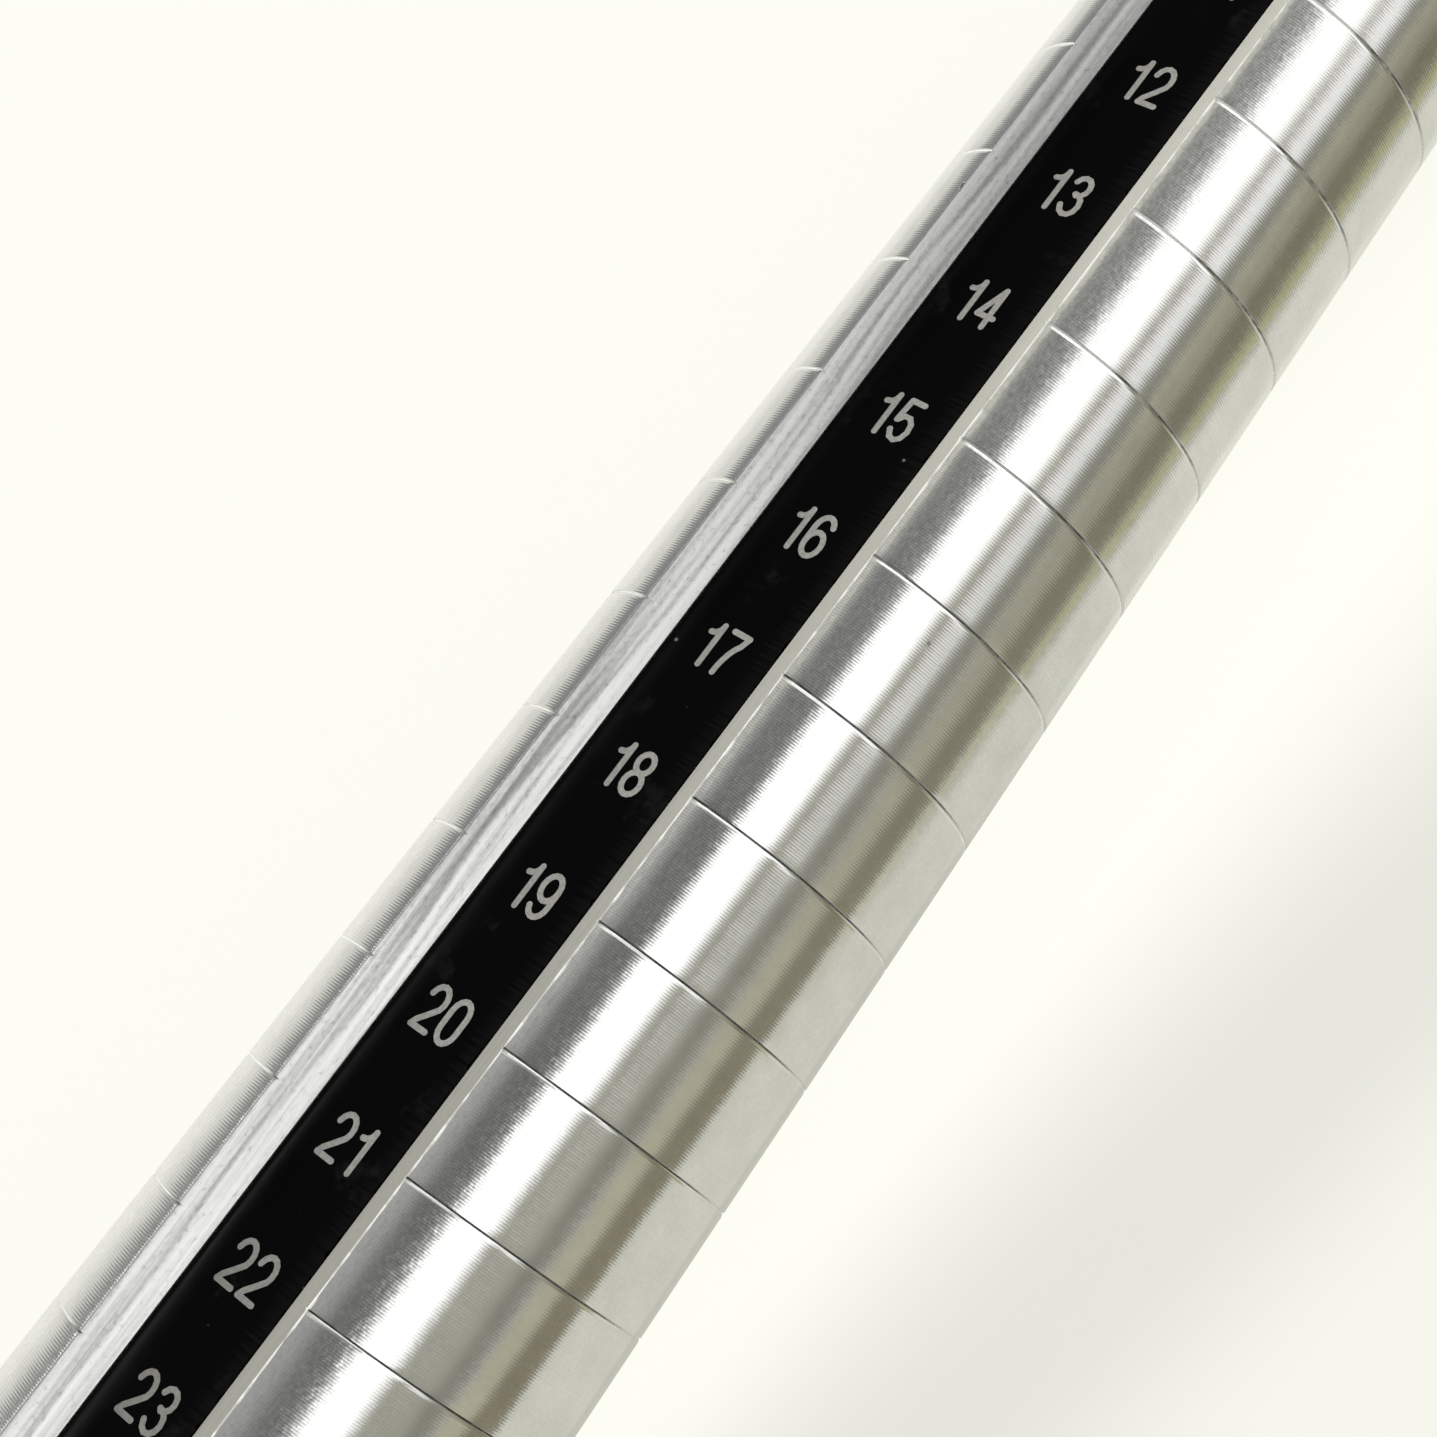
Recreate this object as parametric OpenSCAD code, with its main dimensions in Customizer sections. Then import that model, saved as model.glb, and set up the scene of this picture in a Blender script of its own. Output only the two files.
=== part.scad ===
// Ring sizer stick: a tapered aluminium gauge with one engraved ring line per
// ring size and a numbered black strip in a lengthwise channel, on a black
// fluted grip with a hanging loop.
//
// The stick's axis is X, with the thin tip towards +X. The numbered strip faces
// +Z. The origin is on the axis, at the middle of the straight collar.

/* [Size scale] */
// Inside diameter of the ring that stops at size 1
first_size_d = 13; // [12:0.1:14]
// Sizes in each millimetre of diameter
sizes_per_mm = 3; // [2:0.5:4]
// How many sizes the stick has
sizes = 30; // [20:1:30]
// Distance between neighbouring ring lines
line_pitch = 6; // [5:0.5:8]
// Width of an engraved ring line at the surface
line_w = 0.2; // [0.1:0.05:0.4]
// Depth of an engraved ring line
line_depth = 0.1; // [0.05:0.01:0.2]

/* [Mandrel] */
// Bare taper between the size 1 line and the tip
tip_margin = 9; // [5:1:20]
// Bare taper between the last line and the collar
root_margin = 10; // [5:1:20]
// Radius of the rounded edge at the tip
tip_round = 1.5; // [0.5:0.25:3]
// Diameter of the spigot behind the taper
spigot_d = 16; // [12:1:18]
// Length of the spigot behind the collar
spigot_len = 8; // [6:1:15]

/* [Channel and strip] */
// Depth from the taper's crown down to the top of the strip
strip_drop = 1.85; // [1.2:0.05:2.2]
// Width of the strip
strip_w = 4.8; // [4:0.1:6]
// Thickness of the strip
strip_t = 0.5; // [0.3:0.1:1]
// Thickness of the adhesive tape under the strip
tape_t = 0.1; // [0.05:0.05:0.3]
// Sideways run of the channel's walls for each unit of rise
wall_run = 1.25; // [0.6:0.05:1.6]
// Length of bare channel beyond each end of the strip
strip_end_gap = 0.8; // [0.2:0.1:3]

/* [Numbers] */
// Height of a number
digit_h = 2.16; // [1.5:0.02:3]
// Width of a digit
digit_w = 1.07; // [0.8:0.01:1.6]
// Width of a number's stroke
stroke_w = 0.26; // [0.15:0.01:0.35]
// Gap between a number's two digits
digit_gap = 0.16; // [0.1:0.02:0.4]
// Thickness of the printed ink
ink_t = 0.02; // [0.01:0.01:0.05]
// Distance between neighbouring numbers on the printed strip
number_pitch = 6.04; // [4.9:0.01:8.1]
// Size whose number stands exactly beside its line
aligned_size = 15; // [1:1:30]

/* [Collar] */
// Diameter of the straight collar
collar_d = 26; // [24:1:30]
// Length of the collar
collar_len = 14; // [8:1:20]
// Chamfer on the collar's two edges
collar_chamfer = 0.8; // [0.3:0.1:1.5]

/* [Grip] */
// Length of the grip
grip_len = 98; // [80:1:120]
// Diameter of the grip at its two ends
grip_end_d = 25; // [24:0.5:28]
// Diameter of the grip at its middle
grip_mid_d = 29; // [28:0.5:34]
// Radius of the grip's rounded edges
grip_edge_r = 1.5; // [0.5:0.25:2]
// Number of flutes around the grip
flutes = 12; // [8:1:16]
// Radius of the round tool that cuts a flute
flute_r = 3.2; // [2:0.1:4]
// Depth of a flute at the middle of the grip
flute_depth = 1.3; // [0.5:0.1:1.5]
// Plain length between a flute's end and the end of the grip
flute_margin = 11; // [8:1:20]

/* [Rod, washer and nut] */
// Diameter of the threaded rod
rod_d = 6; // [5:1:6]
// Depth of the rod's thread in the mandrel
rod_in_mandrel = 16; // [10:1:20]
// Depth of the rod's thread in the end cap
rod_in_cap = 6; // [4:1:6]
// Across-flats size of the nut
nut_af = 10; // [8:0.5:10]
// Thickness of the nut
nut_t = 5; // [4:0.5:5]
// Diameter of the washer
washer_d = 12; // [10:0.5:12]
// Thickness of the washer
washer_t = 1; // [0.5:0.1:1.6]

/* [End cap and hanging loop] */
// Length of the end cap's round body
cap_len = 8; // [7:0.5:12]
// Width of the lug, along the loop's bar
lug_w = 7; // [5:0.5:9]
// Height of the lug
lug_h = 8.4; // [6:0.2:10]
// Diameter of the loop's wire
wire_d = 2.4; // [2:0.1:2.8]
// Bend radius at the loop's two corners
loop_corner_r = 3; // [2.5:0.25:4]
// Half the width of the loop, between the centres of its arms
loop_r = 9.4; // [8.5:0.1:9.8]

/* [Fits] */
// Running clearance around the loop's bar, on the radius
bar_clearance = 0.06; // [0.02:0.01:0.09]
// Clearance between pieces that are pushed or screwed together, on the radius
fit_gap = 0.05; // [0.02:0.01:0.1]

/* [Hidden] */
// Smoothness of round shapes, and the steps in a rounded edge or a digit's bow
$fn = 96;
fine_fn = 720;
wire_fn = 32;
edge_steps = 5;
bow_steps = 8;

// How far a cutting shape runs past the face it cuts
over_cut = 1;
quarter_turn = 90;
half_turn = 180;
full_turn = 360;

// Places along the stick's axis
collar_front = collar_len / 2;
collar_back = -collar_len / 2;
last_line_x = collar_front + root_margin;
tip_x = last_line_x + (sizes - 1) * line_pitch + tip_margin;
spigot_back = collar_back - spigot_len;
grip_back = collar_back - grip_len;
cap_back = grip_back - cap_len;
lug_neck = 1.3;
bar_x = cap_back - lug_h / 2 - lug_neck;

// The taper: the radius falls evenly from line to line
line_step_r = 1 / (2 * sizes_per_mm);
taper_angle = atan(line_step_r / line_pitch);
function line_x(size) = last_line_x + (sizes - size) * line_pitch;
function taper_r(x) = first_size_d / 2 + (line_x(1) - x) * line_step_r / line_pitch;

// The channel: a seat for the strip with straight sides, then sloping walls
seat_half_w = strip_w / 2 + fit_gap;
seat_drop = strip_drop + strip_t + tape_t;
wall_half_w = seat_half_w + wall_run * (strip_drop + over_cut);
crown_len = (tip_x - collar_front) / cos(taper_angle);
strip_len = crown_len - 2 * strip_end_gap;
tape_inset = 0.3;

// Counterbores, the nut's pocket and the rod
counterbore_r = spigot_d / 2 + fit_gap;
counterbore_depth = spigot_len + 1;
pocket_room = 0.4;
pocket_r = washer_d / 2 + pocket_room;
pocket_spare_depth = 3;
pocket_floor = grip_back + washer_t + nut_t + pocket_spare_depth;
rod_back = grip_back - rod_in_cap;
rod_front = spigot_back + rod_in_mandrel;
hole_spare_depth = 0.8;
drill_d = rod_d + 2 * fit_gap;

// Flutes
grip_mid = (collar_back + grip_back) / 2;
flute_front = collar_back - flute_margin;
flute_len = grip_len - 2 * flute_margin;
flute_axis_r = grip_mid_d / 2 - flute_depth + flute_r;
grip_sag = (grip_mid_d - grip_end_d) / 2;
grip_bow_r = (grip_len * grip_len / 4 + grip_sag * grip_sag) / (2 * grip_sag);

// ---- Shared shapes ----

// Turns a profile, drawn as [radius, place along X], around the stick's axis
module turned() {
    rotate([0, quarter_turn, 0]) rotate_extrude() children();
}

// A round bar along the stick's axis
module bar(d, from, to) {
    translate([from, 0, 0]) rotate([0, quarter_turn, 0]) cylinder(d = d, h = to - from);
}

// A round bar across the stick, centred on the loop's pivot
module across_y(d, half) {
    translate([bar_x, half, 0]) rotate([quarter_turn, 0, 0]) cylinder(d = d, h = 2 * half);
}

// Puts its children on the taper's crown line: X runs along the crown from the
// collar, Z is square to it
module on_crown() {
    translate([collar_front, 0, taper_r(collar_front)]) rotate([0, taper_angle, 0]) children();
}

// Extrudes a cross-section, drawn as [Y, Z], along X
module along_x(len) {
    rotate([quarter_turn, 0, quarter_turn]) linear_extrude(len) children();
}

// Points of an arc or of part of an ellipse
function bow(centre, rx, ry, from, to, steps) =
    [for (i = [0:steps]) let (a = from + (to - from) * i / steps)
        centre + [rx * cos(a), ry * sin(a)]];

// ---- Mandrel ----

function line_notch(x) = [
    [taper_r(x - line_w / 2), x - line_w / 2],
    [taper_r(x) - line_depth, x],
    [taper_r(x + line_w / 2), x + line_w / 2]
];

module mandrel_blank() {
    tip_r = taper_r(tip_x);
    tip_edge = bow([tip_r - tip_round, tip_x - tip_round], tip_round, tip_round, 0, quarter_turn, edge_steps);
    lines = [for (size = [sizes:-1:1]) each line_notch(line_x(size))];
    turned() polygon(concat(
        [[0, spigot_back], [spigot_d / 2, spigot_back], [spigot_d / 2, collar_front]],
        [[taper_r(collar_front), collar_front]], lines, tip_edge, [[0, tip_x]]));
}

module channel_cut() {
    on_crown() along_x(crown_len + over_cut) polygon([
        [-seat_half_w, -seat_drop], [seat_half_w, -seat_drop],
        [seat_half_w, -strip_drop], [wall_half_w, over_cut],
        [-wall_half_w, over_cut], [-seat_half_w, -strip_drop]]);
}

module mandrel() {
    color("silver") difference() {
        mandrel_blank();
        channel_cut();
        bar(drill_d, spigot_back - over_cut, rod_front + hole_spare_depth);
    }
}

// ---- Strip, tape and numbers ----

module strip_tape() {
    color("ivory") on_crown()
        translate([strip_end_gap + tape_inset, -strip_w / 2 + tape_inset, -seat_drop])
            cube([strip_len - 2 * tape_inset, strip_w - 2 * tape_inset, tape_t]);
}

module scale_strip() {
    color("black") on_crown()
        translate([strip_end_gap, -strip_w / 2, -strip_drop - strip_t])
            cube([strip_len, strip_w, strip_t]);
}

// Half width and height of the middle of a digit's stroke
pen_a = (digit_w - stroke_w) / 2;
pen_h = digit_h - stroke_w;

// Unit normal of a path at one point, from its two neighbours
function side(path, i) =
    let (p = path[max(i - 1, 0)], q = path[min(i + 1, len(path) - 1)], d = (q - p) / norm(q - p))
        [-d[1], d[0]];

// A stroke of even width along an open path, with round ends
module stroke(path) {
    last = len(path) - 1;
    left = [for (i = [0:last]) path[i] + side(path, i) * stroke_w / 2];
    right = [for (i = [last:-1:0]) path[i] - side(path, i) * stroke_w / 2];
    polygon(concat(left, right));
    for (end = [path[0], path[last]]) translate(end) circle(d = stroke_w, $fn = 16);
}

// A closed oval stroke: half ellipses at its top and bottom, with straight
// sides between them when it is tall
module oval(centre, rx, ry, straight = 0) {
    up = [0, straight / 2];
    function ring(grow) = concat(
        bow(centre + up, rx + grow, ry + grow, 0, half_turn, bow_steps),
        bow(centre - up, rx + grow, ry + grow, half_turn, full_turn, bow_steps));
    difference() {
        polygon(ring(stroke_w / 2));
        polygon(ring(-stroke_w / 2));
    }
}

// Each digit stands on the middle of its base stroke, centred on x = 0
module digit_0() {
    end_ry = 1.45 * pen_a;
    oval([0, pen_h / 2], pen_a, end_ry, pen_h - 2 * end_ry);
}

module digit_1() {
    stem_x = (one_w - stroke_w) / 2;
    flag_w = one_w - stroke_w;
    flag_h = 0.24 * pen_h;
    stroke([[stem_x, 0], [stem_x, pen_h]]);
    stroke(bow([stem_x - flag_w, pen_h], flag_w, flag_h, -quarter_turn, -10, 4));
}

module digit_2() {
    bowl_ry = 0.3 * pen_h;
    bowl = bow([0, pen_h - bowl_ry], pen_a, bowl_ry, 168, -32, bow_steps);
    stroke(concat(bowl, [[0.18 * pen_a, 0.36 * pen_h], [-0.72 * pen_a, 0.13 * pen_h], [-pen_a, 0]]));
    stroke([[-pen_a, 0], [pen_a, 0]]);
}

module digit_3() {
    top_ry = 0.24 * pen_h;
    low_ry = 0.28 * pen_h;
    stroke(bow([0, pen_h - top_ry], 0.92 * pen_a, top_ry, 160, -90, bow_steps));
    stroke(bow([0, low_ry], pen_a, low_ry, 100, -162, bow_steps));
}

module digit_4() {
    bar_y = 0.27 * pen_h;
    stem_x = 0.42 * pen_a;
    stroke([[stem_x, 0], [stem_x, pen_h]]);
    stroke([[stem_x, pen_h], [-pen_a, bar_y]]);
    stroke([[-pen_a, bar_y], [pen_a, bar_y]]);
}

module digit_5() {
    bowl_ry = 0.31 * pen_h;
    corner = [-0.72 * pen_a, pen_h];
    bowl = bow([0, bowl_ry], pen_a, bowl_ry, 148, -160, bow_steps);
    stroke([corner, [0.86 * pen_a, pen_h]]);
    stroke([corner, [-0.95 * pen_a, 0.47 * pen_h]]);
    stroke([[-0.95 * pen_a, 0.47 * pen_h], bowl[0]]);
    stroke(bowl);
}

module digit_6() {
    bowl_ry = 0.3 * pen_h;
    oval([0, bowl_ry], pen_a, bowl_ry);
    stroke(concat(
        bow([0, pen_h - bowl_ry], pen_a, bowl_ry, 22, half_turn, bow_steps),
        [[-pen_a, bowl_ry]]));
}

module digit_7() {
    stroke([[-pen_a, pen_h], [pen_a, pen_h]]);
    stroke(concat([[pen_a, pen_h]],
        bow([1.5 * pen_a, 0], 1.85 * pen_a, 0.86 * pen_h, 118, half_turn, 6)));
}

module digit_8() {
    top_ry = 0.235 * pen_h;
    low_ry = 0.265 * pen_h;
    oval([0, pen_h - top_ry], 0.9 * pen_a, top_ry);
    oval([0, low_ry], pen_a, low_ry);
}

module digit_9() {
    translate([0, pen_h]) rotate(half_turn) digit_6();
}

module digit(value) {
    if (value == 0) digit_0();
    if (value == 1) digit_1();
    if (value == 2) digit_2();
    if (value == 3) digit_3();
    if (value == 4) digit_4();
    if (value == 5) digit_5();
    if (value == 6) digit_6();
    if (value == 7) digit_7();
    if (value == 8) digit_8();
    if (value == 9) digit_9();
}

// A 1 is narrower than the other digits, and has more air around it
one_w = 0.62 * digit_w;
one_air = 0.1 * digit_w;
function ink_w(value) = value == 1 ? one_w : digit_w;
function air(value) = value == 1 ? one_air : 0;

// A size's number, centred, standing across the strip and read from the -Y side
module number(size) {
    tens = floor(size / 10);
    units = size % 10;
    gap = digit_gap + air(tens) + air(units);
    total_w = tens > 0 ? ink_w(tens) + gap + ink_w(units) : ink_w(units);
    if (tens > 0) translate([(ink_w(tens) - total_w) / 2, 0]) digit(tens);
    translate([(total_w - ink_w(units)) / 2, 0]) digit(units);
}

module size_numbers() {
    color("gainsboro") on_crown() for (size = [1:sizes]) {
        printed_x = line_x(aligned_size) + (aligned_size - size) * number_pitch;
        translate([(printed_x - collar_front) / cos(taper_angle) - pen_h / 2, 0, -strip_drop])
            rotate([0, 0, -quarter_turn]) linear_extrude(ink_t) number(size);
    }
}

// ---- Collar and grip ----

module collar() {
    r = collar_d / 2;
    c = collar_chamfer;
    bore_r = spigot_d / 2 + fit_gap;
    color("gainsboro") turned() polygon([
        [bore_r, collar_back], [r - c, collar_back], [r, collar_back + c],
        [r, collar_front - c], [r - c, collar_front], [bore_r, collar_front]]);
}

// The grip's outline: a long shallow bow with rounded edges at both ends
module grip_outline() {
    end_r = grip_end_d / 2;
    e = grip_edge_r;
    intersection() {
        translate([grip_mid_d / 2 - grip_bow_r, grip_mid]) circle(r = grip_bow_r, $fn = fine_fn);
        polygon(concat(
            [[0, grip_back]],
            bow([end_r - e / 2, grip_back + e], e, e, -quarter_turn, 0, edge_steps),
            [[grip_mid_d, grip_back + 2 * e], [grip_mid_d, collar_back - 2 * e]],
            bow([end_r - e / 2, collar_back - e], e, e, 0, quarter_turn, edge_steps),
            [[0, collar_back]]));
    }
}

module flute(turn) {
    rotate([turn, 0, 0]) translate([0, 0, -flute_axis_r]) {
        bar(2 * flute_r, flute_front - flute_len, flute_front);
        translate([flute_front, 0, 0]) sphere(r = flute_r);
        translate([flute_front - flute_len, 0, 0]) sphere(r = flute_r);
    }
}

module grip() {
    color("black") difference() {
        turned() grip_outline();
        for (i = [0:flutes - 1]) flute(i * full_turn / flutes);
        bar(2 * counterbore_r, collar_back - counterbore_depth, collar_back + over_cut);
        bar(drill_d, grip_back - over_cut, collar_back);
        bar(2 * pocket_r, grip_back - over_cut, pocket_floor);
    }
}

// ---- Rod, washer and nut ----

module tie_rod() {
    color("slategray") bar(rod_d, rod_back, rod_front);
}

module washer() {
    color("lightsteelblue") difference() {
        bar(washer_d, pocket_floor - washer_t, pocket_floor);
        bar(drill_d, pocket_floor - washer_t - over_cut, pocket_floor + over_cut);
    }
}

module nut() {
    sides = 6;
    corner_r = nut_af / 2 / cos(half_turn / sides);
    nut_front = pocket_floor - washer_t;
    color("lightsteelblue") difference() {
        translate([nut_front - nut_t, 0, 0]) rotate([0, quarter_turn, 0])
            cylinder(r = corner_r, h = nut_t, $fn = sides);
        bar(drill_d, nut_front - nut_t - over_cut, nut_front + over_cut);
    }
}

// ---- End cap and hanging loop ----

module cap_body() {
    r = grip_end_d / 2;
    front_chamfer = 0.4;
    back_round = 2.5;
    turned() polygon(concat(
        [[0, cap_back]],
        bow([r - back_round, cap_back + back_round], back_round, back_round, -quarter_turn, 0, edge_steps),
        [[r, grip_back - front_chamfer], [r - front_chamfer, grip_back], [0, grip_back]]));
}

// The lug has a round end about the loop's bar, and its root is sunk in the cap
module lug() {
    root = 1;
    across_y(d = lug_h, half = lug_w / 2);
    translate([bar_x, -lug_w / 2, -lug_h / 2]) cube([cap_back - bar_x + root, lug_w, lug_h]);
}

module end_cap() {
    color("gainsboro") difference() {
        union() {
            cap_body();
            lug();
        }
        across_y(d = wire_d + 2 * bar_clearance, half = lug_w / 2 + over_cut);
        bar(drill_d, rod_back - hole_spare_depth, grip_back + over_cut);
    }
}

// One corner of the loop: a quarter bend of the wire, turned about Y
module loop_corner() {
    rotate([quarter_turn, 0, 0]) rotate_extrude(angle = quarter_turn)
        translate([loop_corner_r, 0]) circle(d = wire_d, $fn = wire_fn);
}

// The loop's arch: half a ring of wire, below the two corners
module loop_arch() {
    rotate([quarter_turn, 0, quarter_turn]) rotate([0, 0, half_turn])
        rotate_extrude(angle = half_turn) translate([loop_r, 0]) circle(d = wire_d, $fn = wire_fn);
}

// The loop hangs straight down from its bar, in a plane square to the stick
module hang_loop() {
    bar_half = loop_r - loop_corner_r;
    color("lightgray") {
        across_y(d = wire_d, half = bar_half, $fn = wire_fn);
        translate([bar_x, 0, -loop_corner_r]) {
            for (end = [0, 1]) mirror([0, end, 0]) translate([0, bar_half, 0])
                rotate([0, 0, quarter_turn]) loop_corner();
            loop_arch();
        }
    }
}

mandrel();
scale_strip();
size_numbers();
strip_tape();
collar();
grip();
tie_rod();
washer();
nut();
end_cap();
hang_loop();
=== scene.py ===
"""Looks of the ring sizer stick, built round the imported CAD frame. Lengths are in metres."""

import math

import bmesh
import bpy
import numpy as np
from mathutils import Matrix, Quaternion, Vector


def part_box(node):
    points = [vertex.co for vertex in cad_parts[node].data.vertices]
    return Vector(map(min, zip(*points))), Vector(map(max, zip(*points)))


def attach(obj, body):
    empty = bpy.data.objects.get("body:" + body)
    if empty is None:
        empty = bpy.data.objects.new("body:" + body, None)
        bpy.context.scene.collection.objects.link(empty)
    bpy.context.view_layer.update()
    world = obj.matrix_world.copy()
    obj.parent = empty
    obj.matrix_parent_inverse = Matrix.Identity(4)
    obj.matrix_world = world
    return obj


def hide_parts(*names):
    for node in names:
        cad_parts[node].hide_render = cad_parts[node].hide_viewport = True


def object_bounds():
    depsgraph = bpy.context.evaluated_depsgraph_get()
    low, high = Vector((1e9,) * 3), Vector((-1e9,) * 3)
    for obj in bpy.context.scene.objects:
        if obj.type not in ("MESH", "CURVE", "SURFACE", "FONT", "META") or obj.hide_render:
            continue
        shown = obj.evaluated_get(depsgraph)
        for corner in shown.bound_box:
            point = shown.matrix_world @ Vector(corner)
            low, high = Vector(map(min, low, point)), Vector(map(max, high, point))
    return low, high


MM = 0.001

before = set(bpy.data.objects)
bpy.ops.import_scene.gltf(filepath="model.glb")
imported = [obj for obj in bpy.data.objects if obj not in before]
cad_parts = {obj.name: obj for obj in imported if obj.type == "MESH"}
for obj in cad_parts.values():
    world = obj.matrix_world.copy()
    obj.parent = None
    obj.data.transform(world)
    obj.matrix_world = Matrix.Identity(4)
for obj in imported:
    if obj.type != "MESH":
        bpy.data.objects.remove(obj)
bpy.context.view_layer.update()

# ---- The stick's driving dimensions ----

SIZES = 30                     # ring lines on the taper
LINE_PITCH = 6 * MM            # from one ring line to the next
FIRST_RADIUS = 6.5 * MM        # of the taper at line 1
LINE_STEP = MM / 6             # growth of the taper's radius from line to line
ROOT_MARGIN = 10 * MM          # from the collar to line 30
LINE_WIDTH = 0.2 * MM
LINE_DEPTH = 0.1 * MM
STRIP_DROP = 1.85 * MM         # from the crown down to the strip's face
STRIP_THICKNESS = 0.5 * MM
STRIP_END_GAP = 0.8 * MM       # from the strip's ends to the channel's
WALL_RUN = 1.25                # sideways run of a channel wall for each unit of rise
SEAT_GAP = 0.05 * MM           # beside the strip
TAPE = 0.1 * MM                # thickness of the tape under the strip
TIP_ROUND = 1.5 * MM
FLUTES = 12                    # round the grip
FLUTE_RADIUS = 3.2 * MM
FLUTE_DEPTH = 1.3 * MM         # at the grip's middle
FLUTE_MARGIN = 11 * MM         # from the flutes' ends to the grip's
GRIP_END_RADIUS = 12.5 * MM
GRIP_MID_RADIUS = 14.5 * MM
WIRE_RADIUS = 1.2 * MM
LOOP_CORNER = 3 * MM
BORE_CLEARANCE = 0.06 * MM     # round the loop's bar in the lug
ROD_HOLE_RADIUS = 3.05 * MM
ROD_END_GAP = 0.8 * MM         # past the rod's ends, in the mandrel and in the cap
SPIGOT_RADIUS = 8 * MM         # of the mandrel's back part, inside the collar and the grip
SPIGOT_CLEARANCE = 0.05 * MM
COLLAR_CHAMFER = 0.8 * MM
CAP_LENGTH = 8 * MM
CAP_ROUNDING = 2.5 * MM
LUG_HALF_WIDTH = 3.5 * MM
LUG_RADIUS = 4.2 * MM

# ---- Places, from the frame ----

mandrel_lo, mandrel_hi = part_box("mandrel")
collar_lo, collar_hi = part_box("collar")
grip_lo, grip_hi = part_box("grip")
_, cap_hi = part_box("end_cap")
strip_lo, strip_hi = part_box("scale_strip")
loop_lo, loop_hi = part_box("hang_loop")
rod_lo, rod_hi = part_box("tie_rod")
_, washer_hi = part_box("washer")

SHOULDER_X = collar_hi.x
TIP_X = mandrel_hi.x
SPIGOT_BACK = mandrel_lo.x
SLOPE = LINE_STEP / LINE_PITCH
TAPER_ANGLE = math.atan(SLOPE)
LAST_LINE_X = SHOULDER_X + ROOT_MARGIN
PIVOT_X = (loop_lo.x + loop_hi.x) / 2
CAP_BACK = grip_lo.x - CAP_LENGTH
LUG_ROOT = CAP_BACK + 1 * MM   # the lug starts inside the cap


def line_x(size):
    """Place along the stick of one size's ring line."""
    return LAST_LINE_X + (SIZES - size) * LINE_PITCH


def taper_radius(x):
    return FIRST_RADIUS + (line_x(1) - x) * SLOPE


# ---- Mesh helpers ----


def new_object(name, verts, faces, material_index=None):
    mesh = bpy.data.meshes.new(name)
    mesh.from_pydata([tuple(v) for v in verts], [], faces)
    if material_index is not None:
        mesh.polygons.foreach_set("material_index", material_index)
    mesh.validate()
    obj = bpy.data.objects.new(name, mesh)
    bpy.context.scene.collection.objects.link(obj)
    return obj


def clean(obj, merge=1e-7, sharp_degrees=28):
    """Merges doubled points, turns faces outwards, and shades smoothly between sharp edges."""
    bm = bmesh.new()
    bm.from_mesh(obj.data)
    bmesh.ops.remove_doubles(bm, verts=bm.verts, dist=merge)
    bmesh.ops.dissolve_degenerate(bm, edges=bm.edges, dist=merge)
    bmesh.ops.recalc_face_normals(bm, faces=bm.faces)
    bm.to_mesh(obj.data)
    bm.free()
    obj.data.shade_smooth()
    obj.data.set_sharp_from_angle(angle=math.radians(sharp_degrees))
    return obj


def loft(name, rings, index_of=None, caps=(True, True)):
    """Joins closed rings of equal length with quads. index_of(ring, point) gives a face's material."""
    rings = np.asarray(rings, float)
    count, around = rings.shape[:2]
    faces, index = [], []
    for i in range(count - 1):
        for j in range(around):
            k = (j + 1) % around
            faces.append((i * around + j, i * around + k, (i + 1) * around + k, (i + 1) * around + j))
            index.append(index_of(i, j) if index_of else 0)
    if caps[0]:
        faces.append(tuple(range(around - 1, -1, -1)))
        index.append(0)
    if caps[1]:
        faces.append(tuple((count - 1) * around + j for j in range(around)))
        index.append(0)
    return new_object(name, rings.reshape(-1, 3), faces, index)


def turned(name, profile, around=256, index_of=None):
    """Turns (x, radius) pairs around the stick's axis. The profile may close on itself."""
    angles = np.linspace(0, 2 * math.pi, around, endpoint=False)
    rings = [[(x, r * math.cos(a), r * math.sin(a)) for a in angles] for x, r in profile]
    closed = profile[0] == profile[-1]
    return loft(name, rings, index_of, caps=(not closed, not closed))


def arc(cx, cy, radius, start, end, steps):
    """Points of an arc, in degrees, as (x, y) pairs."""
    turn = np.radians(np.linspace(start, end, steps + 1))
    return [(cx + radius * math.cos(a), cy + radius * math.sin(a)) for a in turn]


# ---- Mandrel ----

TURNED, FAR_WALL, NEAR_WALL, ENGRAVED, BURR = range(5)     # the mandrel's materials, in order

ARC_POINTS = 180               # round the taper, from rim to rim
SEAT_POINTS = 2                # on each straight step of the channel
WALL_POINTS = 20               # up each sloping wall
RIM_POINTS = 4                 # on each rounded rim
STATION_STEP = 0.3 * MM        # along the taper
NEAR_RIM = 0.06 * MM           # wear on the channel's two rims
FAR_RIM = 0.015 * MM
CUTTER_WAVE = 0.0035 * MM      # height of the cutter's passes on the channel's far wall
CUTTER_PASSES = 1.7            # across that wall


def wobble(seed, longest, shortest, waves=24):
    """A smooth random function of x between about -1 and 1, with wavelengths between the two lengths."""
    random = np.random.RandomState(seed)
    lengths = np.geomspace(longest, shortest, waves)
    turns = 2 * math.pi / (lengths * random.uniform(0.85, 1.15, waves))
    phases = random.uniform(0, 2 * math.pi, waves)
    return lambda x: float(np.sin(turns * x + phases).sum() / math.sqrt(waves))


near_wear = wobble(3, 9 * MM, 0.8 * MM)
far_wear = wobble(4, 12 * MM, 1.0 * MM)
cutter_drift = wobble(7, 60 * MM, 14 * MM, 6)


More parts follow.
